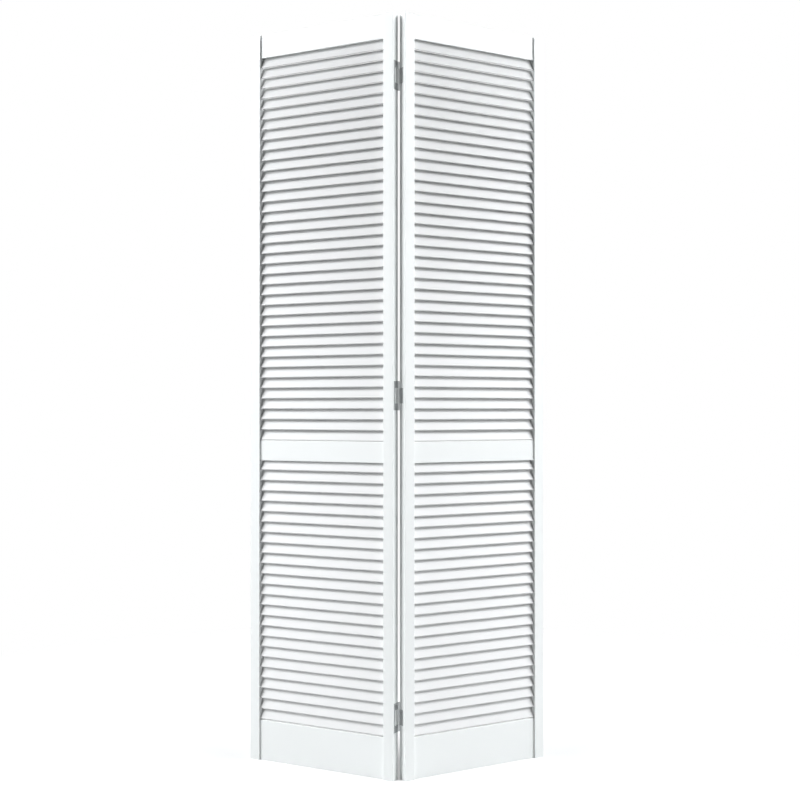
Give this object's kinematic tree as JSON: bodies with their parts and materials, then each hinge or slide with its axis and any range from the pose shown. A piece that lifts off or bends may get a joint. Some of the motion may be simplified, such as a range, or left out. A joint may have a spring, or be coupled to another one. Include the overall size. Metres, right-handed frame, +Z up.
{
  "type": "bifold closet door",
  "caption": "Louvred bifold closet door: two white panels of angled slats between hollow stiles and rails, folding on pinned butt hinges.",
  "frame": {"origin": "bottom centre of the bounding box of the folded door, at floor level", "axes": "+Z up; +X to the viewer's right along the doorway; the front, with the hinged edges, faces -Y"},
  "size_m": [0.8118, 0.242, 2.0003],
  "materials": {
    "stile_plastic": "satin white",
    "rail_plastic": "satin white",
    "slat_plastic": "satin white",
    "core_wood": "sawn, unfinished",
    "leaf_steel": "bright plated",
    "pin_steel": "bright plated",
    "screw_steel": "bright plated"
  },
  "bodies": {
    "left_panel": {"left_hinge_stile": "stile_plastic", "left_hinge_stile_core": "core_wood", "left_outer_stile": "stile_plastic", "left_outer_stile_core": "core_wood", "left_top_rail": "rail_plastic", "left_middle_rail": "rail_plastic", "left_bottom_rail": "rail_plastic", "left_upper_slats": "slat_plastic", "left_lower_slats": "slat_plastic", "top_hinge_outer_leaf": "leaf_steel", "top_hinge_outer_leaf_screws": "screw_steel", "top_hinge_pin": "pin_steel", "middle_hinge_outer_leaf": "leaf_steel", "middle_hinge_outer_leaf_screws": "screw_steel", "middle_hinge_pin": "pin_steel", "bottom_hinge_outer_leaf": "leaf_steel", "bottom_hinge_outer_leaf_screws": "screw_steel", "bottom_hinge_pin": "pin_steel"},
    "right_panel": {"right_hinge_stile": "stile_plastic", "right_hinge_stile_core": "core_wood", "right_outer_stile": "stile_plastic", "right_outer_stile_core": "core_wood", "right_top_rail": "rail_plastic", "right_middle_rail": "rail_plastic", "right_bottom_rail": "rail_plastic", "right_upper_slats": "slat_plastic", "right_lower_slats": "slat_plastic", "top_hinge_inner_leaf": "leaf_steel", "top_hinge_inner_leaf_screws": "screw_steel", "middle_hinge_inner_leaf": "leaf_steel", "middle_hinge_inner_leaf_screws": "screw_steel", "bottom_hinge_inner_leaf": "leaf_steel", "bottom_hinge_inner_leaf_screws": "screw_steel"}
  },
  "joints": [
    {"name": "panel_fold", "type": "hinge", "parent": "left_panel", "child": "right_panel", "pos_m": [0, -0.09595, 1.00012], "axis": [0, 0, 1], "range_deg": [-58.6, 121.4]}
  ]
}
